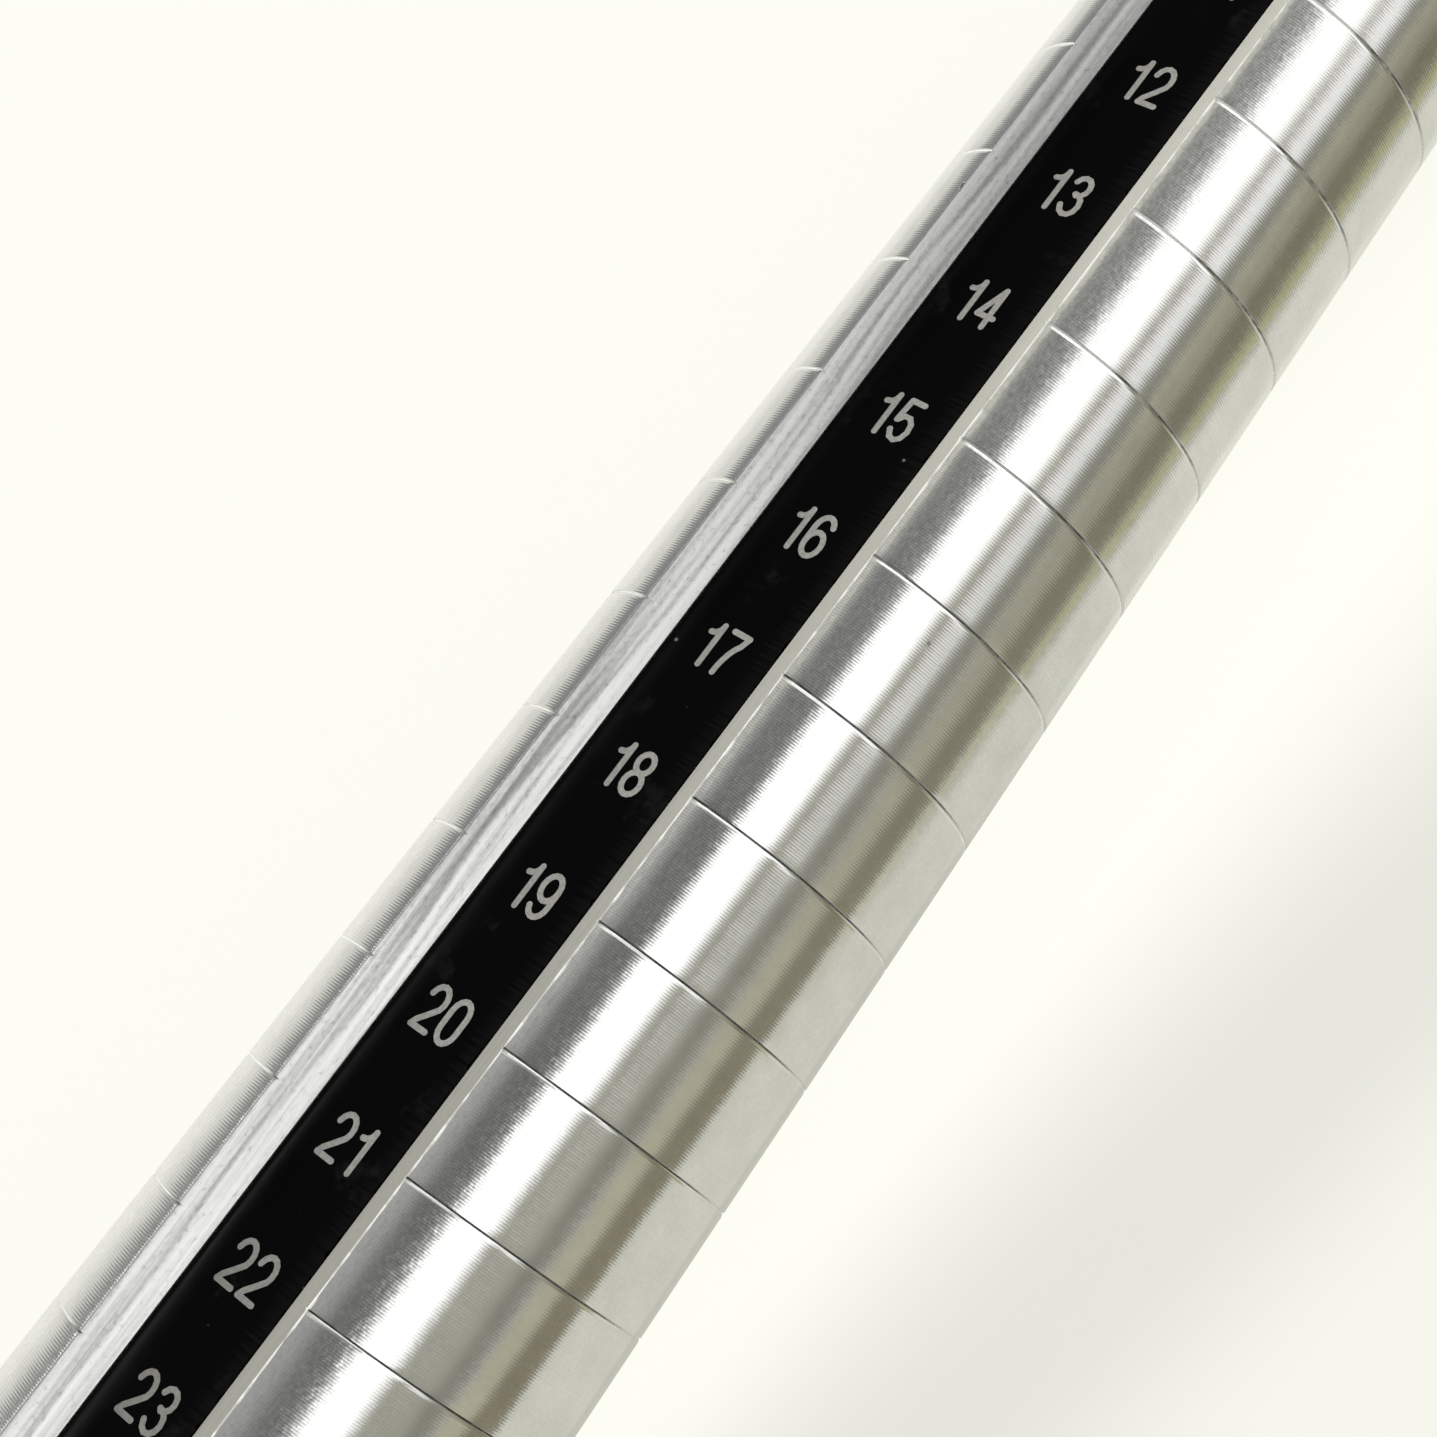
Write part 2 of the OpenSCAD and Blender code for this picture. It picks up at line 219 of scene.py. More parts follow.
def channel_outline(x):
    """One half of the channel's outline at x, from the middle of its seat outwards, as (y, z)."""
    crown = taper_radius(x)
    tilt = math.cos(TAPER_ANGLE)
    half = (strip_hi.y - strip_lo.y) / 2 + SEAT_GAP
    face_z = crown - STRIP_DROP / tilt
    seat_z = face_z - (STRIP_THICKNESS + TAPE) / tilt
    over = 1.0 * MM
    top = (half + WALL_RUN * (STRIP_DROP + over) / tilt, crown + over / tilt)
    return [(0.0, seat_z), (half, seat_z), (half, face_z), top]


def rim_point(outline, radius):
    """Where the half outline leaves the circle: (segment, share along it)."""
    for segment in range(len(outline) - 1):
        a, b = outline[segment], outline[segment + 1]
        d = b - a
        qa, qb, qc = d @ d, 2 * a @ d, a @ a - radius * radius
        root = qb * qb - 4 * qa * qc
        if root < 0:
            continue
        t = (-qb + math.sqrt(root)) / (2 * qa)
        if 0 <= t <= 1:
            return segment, t
    raise ValueError("the channel doesn't meet the taper's surface")


# Across one engraved line, from the grip's side to the tip's: (share of the half width, share of depth)
LIP = [(-1.6, 0.0), (-1.4, 0.01), (-1.2, 0.03), (0.0, 0.38)]
GROOVE = [(0.14, 0.46), (0.26, 0.97), (0.50, 1.0), (0.76, 0.97)]
FAR_EDGE = [(0.90, 0.12), (1.0, 0.02), (1.15, 0.0)]
LINE_SHAPE = LIP + GROOVE + FAR_EDGE


def cutter_mark(x, share, wave):
    """How far one place on a sloping wall stands off its plane, where the cutter's passes overlap."""
    fade = min(1.0, 4 * share, 4 * (1 - share))
    turn = 2 * math.pi * CUTTER_PASSES * share + 1.2 * cutter_drift(x)
    return wave * fade * (math.sin(turn) + 0.4 * math.sin(2.3 * turn))


def rounded_rim(below, above, share, radius, rim_width):
    """Points of the rim's curve, from the channel's wall over to the circle."""
    corner = below + (above - below) * share
    inward = (below - above) / np.linalg.norm(above - below)
    turn = math.atan2(corner[0], corner[1])
    along = np.array([math.cos(turn), -math.sin(turn)])
    bevel = min(rim_width, 0.45 * np.linalg.norm(corner - below))
    start, end = corner + inward * bevel, corner + along * bevel
    end = end / np.linalg.norm(end) * radius
    shares = [i / (RIM_POINTS - 1) for i in range(RIM_POINTS)]
    return [(1 - t) ** 2 * start + 2 * t * (1 - t) * corner + t * t * end for t in shares]


def half_channel(x, radius, rim_width, wave=0.0):
    """Points (y, z) from the middle of the seat, up the wall and over the rim, and the rim's last angle.

    On the tip's rounding the circle cuts a lower part of the outline, and the parts above it shrink
    to one point.
    """
    outline = [np.array(point) for point in channel_outline(x)]
    last, share = rim_point(outline, radius)
    points = []
    for part, steps in enumerate((SEAT_POINTS, SEAT_POINTS, WALL_POINTS)):
        start, end = outline[min(part, last)], outline[min(part, last) + 1]
        for i in range(steps):
            t = i / steps
            reach = share if part > last else t * share if part == last else t
            point = start + (end - start) * reach
            if part == 2 and wave:
                low, high = outline[2], outline[3]
                out = np.array([high[1] - low[1], low[0] - high[0]]) / np.linalg.norm(high - low)
                point = point + out * cutter_mark(x, t, wave)
            points.append(point)
    rim = rounded_rim(outline[last], outline[last + 1], share, radius, rim_width)
    return points + rim, math.atan2(rim[-1][0], rim[-1][1])


def mandrel_ring(x, radius):
    """One closed cross-section of the taper, channel included. Angle 0 is +Z, and it grows towards +Y."""
    far_half, far_angle = half_channel(x, radius, FAR_RIM * (1 + 0.5 * far_wear(x)), CUTTER_WAVE)
    near_half, near_angle = half_channel(x, radius, NEAR_RIM * (1 + 0.45 * near_wear(x)))
    far = [(x, y, z) for y, z in far_half]
    near = [(x, -y, z) for y, z in near_half[1:]][::-1]
    angles = np.linspace(far_angle, 2 * math.pi - near_angle, ARC_POINTS + 2)[1:-1]
    round_part = [(x, radius * math.sin(a), radius * math.cos(a)) for a in angles]
    return far + round_part + near


def plain_ring(x, radius, like):
    """A round ring whose points stand at the same angles as another ring's."""
    angles = [math.atan2(p[1], p[2]) for p in like]
    return [(x, radius * math.sin(a), radius * math.cos(a)) for a in angles]


def taper_stations():
    """(x, radius, in a groove) along the taper, close together across each engraved line."""
    half_width = LINE_WIDTH / 2
    middles = [line_x(size) for size in range(SIZES, 0, -1)]
    stations = []
    for middle in middles:
        for offset, depth in LINE_SHAPE:
            x = middle + offset * half_width
            stations.append((x, taper_radius(x) - depth * LINE_DEPTH, (offset, depth) in GROOVE))
    starts = [SHOULDER_X] + [middle + FAR_EDGE[-1][0] * half_width for middle in middles]
    ends = [middle + LIP[0][0] * half_width for middle in middles] + [TIP_X - TIP_ROUND]
    for start, end in zip(starts, ends):
        steps = int((end - start) / STATION_STEP)
        stations += [(x, taper_radius(x), False) for x in np.linspace(start, end, steps + 1)[1:-1]]
    return sorted(stations)


def build_mandrel():
    stations = [(SHOULDER_X, taper_radius(SHOULDER_X), False)] + taper_stations()
    tip_radius = taper_radius(TIP_X)
    tip_arc = arc(TIP_X - TIP_ROUND, tip_radius - TIP_ROUND, TIP_ROUND, 90, 0, 12)
    stations += [(x, r, False) for x, r in tip_arc]
    rings = [mandrel_ring(x, r) for x, r, _ in stations]
    first = rings[0]
    back = [plain_ring(rod_hi.x + ROD_END_GAP, ROD_HOLE_RADIUS, first),
            plain_ring(SPIGOT_BACK, ROD_HOLE_RADIUS, first),
            plain_ring(SPIGOT_BACK, SPIGOT_RADIUS, first),
            plain_ring(SHOULDER_X, SPIGOT_RADIUS, first)]
    rings = back + rings
    half = 2 * SEAT_POINTS + WALL_POINTS + RIM_POINTS
    near_rim = half + ARC_POINTS

    def index_of(i, j):
        if i < len(back):
            return TURNED
        if j < half - 2:
            return FAR_WALL
        if near_rim <= j < near_rim + RIM_POINTS - 1:
            return BURR
        if j > near_rim:
            return NEAR_WALL
        return ENGRAVED if stations[i - len(back)][2] else TURNED

    return clean(loft("mandrel_body", rings, index_of), merge=2e-7, sharp_degrees=24)


# ---- Strip ----


def build_strip():
    """The strip: a thin bevelled plate that follows the taper's slope, its near edge a little chipped."""
    half = (strip_hi.y - strip_lo.y) / 2
    bevel = 0.05 * MM
    crown = Vector((SHOULDER_X, 0, taper_radius(SHOULDER_X)))
    tilt = Matrix.Rotation(TAPER_ANGLE, 3, "Y")
    length = (TIP_X - SHOULDER_X) / math.cos(TAPER_ANGLE) - 2 * STRIP_END_GAP
    rough, bites = wobble(5, 3 * MM, 0.25 * MM), wobble(6, 7 * MM, 0.6 * MM)
    inner = np.linspace(bevel * 2, length - 2 * bevel, int(length / (0.12 * MM)))
    places = [0, bevel, *inner, length - bevel, length]
    rings = []
    for i, place in enumerate(places):
        drop = bevel if i in (0, len(places) - 1) else 0.0
        near = half - 0.035 * MM * (1 + rough(place)) - 0.09 * MM * max(0.0, bites(place) - 0.7)
        outline = [(-near, -STRIP_THICKNESS), (half, -STRIP_THICKNESS), (half, -bevel),
                   (half - 0.3 * bevel, -0.3 * bevel), (half - bevel, 0.0), (0.0, 0.0), (bevel - near, 0.0),
                   (0.3 * bevel - near, -0.3 * bevel), (-near, -bevel)]
        x = STRIP_END_GAP + place
        rings.append([crown + tilt @ Vector((x, y, -STRIP_DROP + min(z, -drop))) for y, z in outline])
    return clean(loft("strip_plate", rings), merge=1e-8, sharp_degrees=35)


# ---- Collar, grip, end cap and loop ----


def build_collar():
    """The collar: a ring with a chamfer at each end and softened edges."""
    back, front, r = collar_lo.x, collar_hi.x, collar_hi.y
    soft = 0.12 * MM
    bore = SPIGOT_RADIUS + SPIGOT_CLEARANCE
    chamfer = [(0.0, r - COLLAR_CHAMFER - soft), (soft * 0.4, r - COLLAR_CHAMFER),
               (COLLAR_CHAMFER - soft, r - soft * 0.6), (COLLAR_CHAMFER + soft * 0.5, r)]
    profile = [(back, bore)]
    profile += [(back + x, radius) for x, radius in chamfer]
    profile += [(front - x, radius) for x, radius in reversed(chamfer)]
    profile += [(front, bore), (back, bore)]
    return clean(turned("collar_ring", profile), merge=1e-8, sharp_degrees=50)


def smooth_min(a, b, k):
    """The smaller of two arrays, blended where they differ by less than k."""
    h = np.clip(0.5 + 0.5 * (b - a) / k, 0, 1)
    return b + (a - b) * h - k * h * (1 - h)


def build_grip():
    """The moulded grip: a long bow with round-ended flutes, as a fine radius field."""
    back, front = grip_lo.x, grip_hi.x
    length = front - back
    sag = GRIP_MID_RADIUS - GRIP_END_RADIUS
    bow = (length * length / 4 + sag * sag) / (2 * sag)
    mid = (back + front) / 2
    edge = 1.5 * MM
    flute_axis = GRIP_MID_RADIUS - FLUTE_DEPTH + FLUTE_RADIUS
    flute_lo, flute_hi = back + FLUTE_MARGIN, front - FLUTE_MARGIN
    around = 480
    angles = np.linspace(0, 2 * math.pi, around, endpoint=False)
    pitch = 2 * math.pi / FLUTES
    off = np.abs((angles + pitch / 2) % pitch - pitch / 2)
    xs = np.concatenate([back + edge * (1 - np.cos(np.linspace(0, math.pi / 2, 9))),
                         np.linspace(back + edge, front - edge, 260)[1:-1],
                         front - edge * (1 - np.cos(np.linspace(math.pi / 2, 0, 9)))])
    rings = []
    for x in xs:
        body = GRIP_MID_RADIUS - bow + math.sqrt(bow * bow - (x - mid) ** 2)
        from_end = min(x - back, front - x)
        if from_end < edge:
            rounding = math.sqrt(max(edge * edge - (edge - from_end) ** 2, 0)) - edge
            body = min(body, GRIP_END_RADIUS + edge / 2) + rounding
        beyond = max(flute_lo - x, x - flute_hi, 0)
        ball = FLUTE_RADIUS ** 2 - beyond ** 2
        inside = ball - (flute_axis * np.sin(off)) ** 2
        cut = np.where(inside > 0, flute_axis * np.cos(off) - np.sqrt(np.maximum(inside, 0)), 1.0)
        r = smooth_min(np.full(around, body), np.minimum(cut, body + 2 * MM), 0.25 * MM)
        rings.append([(x, ri * math.sin(a), ri * math.cos(a)) for a, ri in zip(angles, r)])
    pocket_floor = washer_hi.x
    spigot_bore = SPIGOT_RADIUS + SPIGOT_CLEARANCE
    bore_end = SPIGOT_BACK - 1 * MM
    pocket = 6.4 * MM
    inner = [(front, spigot_bore), (bore_end, spigot_bore), (bore_end, ROD_HOLE_RADIUS),
             (pocket_floor, ROD_HOLE_RADIUS), (pocket_floor, pocket), (back, pocket)]
    for x, r in inner:
        rings.append([(x, r * math.sin(a), r * math.cos(a)) for a in angles])
    rings.append(rings[0])
    return clean(loft("grip_moulding", rings, caps=(False, False)), merge=1e-8, sharp_degrees=40)


def lug_outline(angle):
    """Distance from the pivot to the lug's outline, in a direction measured from +X towards +Z."""
    c, s = math.cos(angle), math.sin(angle)
    if c <= 0:
        return LUG_RADIUS
    return min(LUG_RADIUS / max(abs(s), 1e-6), (LUG_ROOT - PIVOT_X) / c)


def build_lug():
    """The end cap's lug: a plate with a round end and a chamfered bore for the loop's bar."""
    bore = WIRE_RADIUS + BORE_CLEARANCE
    corner = math.atan2(LUG_RADIUS, LUG_ROOT - PIVOT_X)
    corners = {corner, -corner, math.pi / 2, -math.pi / 2}
    angles = sorted(set(np.linspace(-math.pi, math.pi, 96, endpoint=False)) | corners)
    edge, chamfer = 0.35 * MM, 0.25 * MM
    h = LUG_HALF_WIDTH

    def ring(y, inset=None, radius=None):
        points = []
        for a in angles:
            d = radius if radius else lug_outline(a) - inset
            points.append((PIVOT_X + d * math.cos(a), y, d * math.sin(a)))
        return points

    rings = [ring(-h + chamfer, radius=bore), ring(-h, radius=bore + chamfer), ring(-h, inset=edge),
             ring(-h + 0.3 * edge, inset=0.3 * edge), ring(-h + edge, inset=0), ring(h - edge, inset=0),
             ring(h - 0.3 * edge, inset=0.3 * edge), ring(h, inset=edge), ring(h, radius=bore + chamfer),
             ring(h - chamfer, radius=bore), ring(-h + chamfer, radius=bore)]
    return clean(loft("end_cap_lug", rings, caps=(False, False)), merge=1e-8, sharp_degrees=38)


def build_cap():
    """The end cap: a short plug with a rounded end and one fine turned groove round it."""
    r, back, front = cap_hi.y, CAP_BACK, grip_lo.x
    soft = 0.4 * MM
    depth = rod_lo.x - ROD_END_GAP
    profile = [(depth, 0.0), (depth, ROD_HOLE_RADIUS), (front, ROD_HOLE_RADIUS), (front, r - soft),
               (front - soft * 0.3, r - soft * 0.3), (front - soft, r)]
    for along, deep in ((4.6, 0.0), (4.5, 0.15), (4.35, 0.3), (4.2, 0.15), (4.1, 0.0)):
        profile.append((back + along * MM, r - deep * MM))
    profile += arc(back + CAP_ROUNDING, r - CAP_ROUNDING, CAP_ROUNDING, 90, 180, 14)
    profile += [(back, 5.5 * MM), (back, 0.0)]
    return clean(turned("end_cap_body", profile), merge=1e-8, sharp_degrees=38)


def build_loop():
    """The hanging loop: round wire swept along a D, hanging straight down from its bar."""
    half_width = (loop_hi.y - loop_lo.y) / 2 - WIRE_RADIUS
    bar = half_width - LOOP_CORNER
    path = [(y, 0.0) for y in np.linspace(-bar, bar, 12)]
    path += arc(bar, -LOOP_CORNER, LOOP_CORNER, 90, 0, 16)[1:]
    path += arc(0, -LOOP_CORNER, half_width, 0, -180, 72)[1:]
    path += arc(-bar, -LOOP_CORNER, LOOP_CORNER, 180, 90, 16)[1:-1]
    path = np.array(path)
    count = len(path)
    rings = []
    for i in range(count):
        tangent = path[(i + 1) % count] - path[i - 1]
        tangent /= np.linalg.norm(tangent)
        normal = np.array([-tangent[1], tangent[0]])
        ring = []
        for a in np.linspace(0, 2 * math.pi, 40, endpoint=False):
            y, z = path[i] + normal * WIRE_RADIUS * math.cos(a)
            ring.append((PIVOT_X + WIRE_RADIUS * math.sin(a), y, z))
        rings.append(ring)
    rings.append(rings[0])
    return clean(loft("loop_wire", rings, caps=(False, False)), merge=1e-8, sharp_degrees=60)


# ---- Materials ----


class Nodes:
    """A short way to write shader node trees."""

    def __init__(self, tree):
        self.tree = tree
        tree.nodes.clear()

    def add(self, kind, inputs=None, **settings):
        node = self.tree.nodes.new(kind)
        for key, value in settings.items():
            setattr(node, key, value)
        for key, value in (inputs or {}).items():
            self.put(node.inputs[key], value)
        return node

    def put(self, socket, value):
        if isinstance(value, bpy.types.NodeSocket):
            self.tree.links.new(value, socket)
        elif isinstance(value, bpy.types.Node):
            self.tree.links.new(value.outputs[0], socket)
        else:
            socket.default_value = value

    def math(self, operation, a, b=0.0, c=None):
        node = self.add("ShaderNodeMath", {0: a, 1: b}, operation=operation)
        if c is not None:
            self.put(node.inputs[2], c)
        return node.outputs[0]

    def plus(self, a, b):
        return self.math("ADD", a, b)

    def minus(self, a, b):
        return self.math("SUBTRACT", a, b)

    def times(self, a, b):
        return self.math("MULTIPLY", a, b)

    def times_plus(self, a, b, c):
        return self.math("MULTIPLY_ADD", a, b, c)

    def vector(self, operation, a, b=(0.0, 0.0, 0.0), scale=None):
        node = self.add("ShaderNodeVectorMath", {0: a, 1: b}, operation=operation)
        if scale is not None:
            self.put(node.inputs["Scale"], scale)
        return node.outputs[0]

    def scale(self, vector, factor):
        return self.vector("SCALE", vector, scale=factor)

    def stretch(self, vector, factors):
        return self.vector("MULTIPLY", vector, factors)

    def split(self, vector):
        return self.add("ShaderNodeSeparateXYZ", {0: vector}).outputs

    def bend(self, normal, tilt):
        return self.vector("NORMALIZE", self.vector("ADD", normal, tilt))

    def bump(self, height, strength, distance):
        return self.add("ShaderNodeBump", {"Height": height, "Strength": strength, "Distance": distance})

    def smooth(self, value, low, high, out_low=0.0, out_high=1.0, kind="SMOOTHSTEP"):
        inputs = {"Value": value, "From Min": low, "From Max": high, "To Min": out_low, "To Max": out_high}
        return self.add("ShaderNodeMapRange", inputs, interpolation_type=kind).outputs[0]

    def linear(self, value, low, high, out_low=0.0, out_high=1.0):
        return self.smooth(value, low, high, out_low, out_high, "LINEAR")

    def noise(self, vector, scale, detail=2.0, roughness=0.5):
        return self.add("ShaderNodeTexNoise", {"Vector": vector, "Scale": scale, "Detail": detail,
                                               "Roughness": roughness}).outputs[0]

    def noise_1d(self, value, scale, detail=2.0, roughness=0.5):
        return self.add("ShaderNodeTexNoise", {"W": value, "Scale": scale, "Detail": detail,
                                               "Roughness": roughness}, noise_dimensions="1D").outputs[0]

    def mix(self, factor, a, b):
        node = self.add("ShaderNodeMix", data_type="RGBA")
        self.put(node.inputs["Factor"], factor)
        self.put(node.inputs[6], a)
        self.put(node.inputs[7], b)
        return node.outputs[2]


def grey(value):
    return (value, value, value, 1.0)


def material(name):
    """A new material, its node writer, and the place on the object that its patterns follow."""
    made = bpy.data.materials.new(name)
    made.use_nodes = True
    nodes = Nodes(made.node_tree)
    return made, nodes, nodes.add("ShaderNodeTexCoord").outputs["Object"]


def surface(nodes, **inputs):
    named = {key.replace("_", " "): value for key, value in inputs.items()}
    shader = nodes.add("ShaderNodeBsdfPrincipled", named)
    nodes.add("ShaderNodeOutputMaterial", {"Surface": shader})


def around_stick(n, normal):
    """The direction round the stick's axis, along the surface."""
    return n.vector("NORMALIZE", n.vector("CROSS_PRODUCT", (1.0, 0.0, 0.0), normal))


LATHE_FEED = 0.121 * MM        # along the stick for each turn of the lathe
MID_TAPER = line_x(19)         # between these two lines, marks and tones change towards the tip
THIN_TAPER = line_x(14)


def turned_metal(name, tint, rough=0.15):
    """Bright turned metal: each turn of the lathe leaves a shallow groove, and handling mottles it."""
    made, n, place = material(name)
    x = n.split(place)[0]
    normal = n.add("ShaderNodeNewGeometry").outputs["Normal"]
    sideways = n.split(normal)[1]
    # The feed marks tilt the surface along the stick, so the edges of reflections break into fine teeth
    turn = n.math("DIVIDE", x, LATHE_FEED)
    uneven = n.minus(n.noise_1d(turn, 1.0, 2.0, 0.6), 0.5)
    ridge = n.math("SINE", n.times(turn, 2 * math.pi))
    along = n.times(n.plus(ridge, n.times(uneven, 1.4)), 0.045)
    lean = n.times(n.plus(ridge, n.times(uneven, 0.8)), 0.018)
    lean = n.times(lean, n.smooth(sideways, 0.28, 0.40, 1.0, 2.2))
    # Wear wanders round the stick, with flecks on the flanks beside the channel
    fine = n.noise(n.stretch(place, (5200.0, 4800.0, 4800.0)), 1.0, 3.0, 0.7)
    worn = n.smooth(n.noise(n.stretch(place, (45.0, 70.0, 70.0)), 1.0, 2.0, 0.5), 0.38, 0.62, 0.45, 1.0)
    speck = n.noise(n.stretch(place, (3800.0, 6500.0, 6500.0)), 1.0, 2.0, 0.55)
    flank = n.smooth(n.math("ABSOLUTE", sideways), 0.72, 0.52)
    flecks = n.times(n.smooth(speck, 0.50, 0.72), flank)
    wander = n.times(n.plus(n.times(n.minus(fine, 0.5), 0.042), n.times(flecks, 0.017)), worn)
    sidelong = n.scale(around_stick(n, normal), n.plus(lean, wander))
    tilt = n.vector("ADD", sidelong, n.scale((1.0, 0.0, 0.0), along))
    # Small pits
    cells = n.add("ShaderNodeTexVoronoi", {"Vector": place, "Scale": 260.0, "Randomness": 1.0})
    pick = n.add("ShaderNodeSeparateColor", {0: cells.outputs["Color"]}).outputs[0]
    pit = n.times(n.smooth(cells.outputs["Distance"], 0.035, 0.015), n.math("GREATER_THAN", pick, 0.82))
    # Handling dulls the flank beyond the channel, and more so the band beside the near rim
    far_flank = n.times(n.smooth(sideways, 0.45, 0.60), n.linear(x, MID_TAPER, THIN_TAPER, 0.30, 0.06))
    near_band = n.times(n.smooth(sideways, -0.34, -0.41), n.smooth(sideways, -0.68, -0.59))
    near_band = n.times(near_band, n.linear(x, MID_TAPER, THIN_TAPER, 0.45, 0.75))
    cloud = n.noise(n.stretch(place, (700.0, 500.0, 500.0)), 1.0, 3.0, 0.6)
    shade = n.times_plus(uneven, 0.06, n.times_plus(ridge, 0.018, 0.995))
    shade = n.times(shade, n.linear(cloud, 0.3, 0.7, 0.94, 1.03))
    shade = n.times(shade, n.linear(fine, 0.25, 0.75, 0.93, 1.04))
    shade = n.times(shade, n.times_plus(n.minus(speck, 0.5), n.plus(far_flank, near_band), 1.0))
    shade = n.times(shade, n.times_plus(pit, -0.45, 1.0))
    surface(n, Base_Color=n.scale(tint, shade), Metallic=1.0,
            Roughness=n.times(rough, n.linear(fine, 0.2, 0.8, 0.85, 1.2)),
            Anisotropic=1.0, Tangent=(1.0, 0.0, 0.0), Normal=n.bend(normal, tilt))
    return made


def milled_metal(name, tint, metallic, painted_tone_to_tip):
    """Channel walls, milled along the stick: lengthwise streaks and specks over a broad soft shine, with
    painted reflection that makes them paler or darker towards the tip.
    """
    made, n, place = material(name)
    x = n.split(place)[0]
    normal = n.add("ShaderNodeNewGeometry").outputs["Normal"]
    streak = n.noise(n.stretch(place, (14.0, 5200.0, 5200.0)), 1.0, 3.0, 0.6)
    broad = n.noise(n.stretch(place, (14.0, 1300.0, 1300.0)), 1.0, 1.0, 0.5)
    speck = n.noise(n.stretch(place, (3500.0, 6000.0, 6000.0)), 1.0, 3.0, 0.6)
    lean = n.plus(n.times(n.minus(streak, 0.5), 0.13), n.times(n.minus(broad, 0.5), 0.22))
    lean = n.times(lean, n.linear(x, line_x(20), line_x(15), 0.85, 0.40))
    grain = n.linear(x, line_x(20), line_x(15), 0.05, 0.055)
    lean = n.times_plus(n.minus(speck, 0.5), grain, lean)
    shade = n.times(n.linear(streak, 0.25, 0.75, 0.92, 1.0), n.smooth(speck, 0.28, 0.40, 0.84, 1.0))
    # Painted reflection: the colour grows paler or darker towards the tip, as the wall's reflections do
    shade = n.times(shade, n.linear(x, line_x(20), line_x(13), 1.0, 1.0 + painted_tone_to_tip))
    tilt = n.scale(around_stick(n, normal), lean)
    surface(n, Base_Color=n.scale(tint, shade), Metallic=metallic, Roughness=0.24,
            Anisotropic=0.5, Tangent=(1.0, 0.0, 0.0), Normal=n.bend(normal, tilt))
    return made


def line_metal(name):
    """The bottom of an engraved line: dark dirt and painted shade, paled by painted reflection towards the
    tip, round the lower near side and beyond the far rim, and by painted glare near the tip.
    """
    made, n, place = material(name)
    x, y, z = n.split(place)
    grime_and_shade = n.noise(place, 1400.0, 3.0, 0.6)
    # The groove's dark colour is dirt that varies at random, over painted shade in the groove
    colour = n.mix(n.smooth(grime_and_shade, 0.35, 0.65), (0.07, 0.07, 0.067, 1.0), (0.21, 0.208, 0.20, 1.0))
    # Painted reflection: the groove pales towards the tip
    colour = n.scale(colour, n.linear(x, line_x(19), line_x(13), 1.0, 3.0))
    round_angle = n.math("DEGREES", n.math("ARCTAN2", n.times(y, -1.0), z))
    # Painted reflection: the groove turns pale round the lower near side and beyond the far rim
    painted_reflection_mask = n.plus(n.smooth(round_angle, 74, 100), n.smooth(round_angle, -22, -30))
    colour = n.mix(n.times(painted_reflection_mask, 0.9), colour, (0.90, 0.90, 0.88, 1.0))
    # Painted glare: towards the tip the groove turns near white, from the top down to the bright band's
    # lower edge
    painted_glare_mask = n.times(n.smooth(x, line_x(17), line_x(13.5)), n.smooth(round_angle, 50, 46))
    colour = n.mix(n.times(painted_glare_mask, 0.9), colour, (0.95, 0.95, 0.94, 1.0))
    surface(n, Base_Color=colour, Metallic=0.15, Roughness=0.45, Specular_IOR_Level=0.3)
    return made


def rim_burr_painted_glint(name):
    """The slightly torn edge that the milling cutter leaves along the channel, coloured near white as a
    painted glint.
    """
    made, n, place = material(name)
    torn = n.noise(n.stretch(place, (900.0, 200.0, 200.0)), 1.0, 3.0, 0.6)
    # Painted glint: the rim's near-white colour
    colour = n.mix(n.smooth(torn, 0.38, 0.55), (0.62, 0.62, 0.60, 1.0), (0.97, 0.97, 0.95, 1.0))
    surface(n, Base_Color=colour, Metallic=0.1, Roughness=0.3)
    return made


def strip_black(name):
    """Glossy black strip with dust and faint smudges."""
    made, n, place = material(name)
    smudge = n.noise(n.stretch(place, (140.0, 260.0, 260.0)), 1.0, 4.0, 0.6)
    grain = n.noise(place, 14000.0, 2.0, 0.6)
    cells = n.add("ShaderNodeTexVoronoi", {"Vector": place, "Scale": 900.0, "Randomness": 1.0})
    pick = n.add("ShaderNodeSeparateColor", {0: cells.outputs["Color"]}).outputs[0]
    dust = n.times(n.smooth(cells.outputs["Distance"], 0.10, 0.04), n.math("GREATER_THAN", pick, 0.86))
    haze = n.smooth(n.noise(place, 380.0, 4.0, 0.65), 0.60, 0.72)
    black = n.mix(haze, (0.0028, 0.0028, 0.0032, 1.0), (0.009, 0.0095, 0.009, 1.0))
    colour = n.mix(dust, black, (0.22, 0.22, 0.21, 1.0))
    rough = n.plus(n.linear(smudge, 0.3, 0.75, 0.10, 0.22), n.times(dust, 0.5))
    surface(n, Base_Color=colour, Roughness=rough, Specular_IOR_Level=0.14,
            Normal=n.bump(grain, 0.08, 0.01 * MM))
    return made


def number_ink(name):
    """Pale printed ink, a little uneven and greyer towards the grip."""
    made, n, place = material(name)
    spread = n.noise(place, 6000.0, 3.0, 0.6)
    colour = n.mix(n.smooth(spread, 0.3, 0.7), (0.29, 0.283, 0.268, 1.0), (0.39, 0.383, 0.363, 1.0))
    colour = n.scale(colour, n.smooth(n.split(place)[0], line_x(22.4), line_x(20.4), 0.74, 1.0))
    surface(n, Base_Color=colour, Roughness=0.55, Specular_IOR_Level=0.3,
            Normal=n.bump(spread, 0.2, 0.01 * MM))
    return made


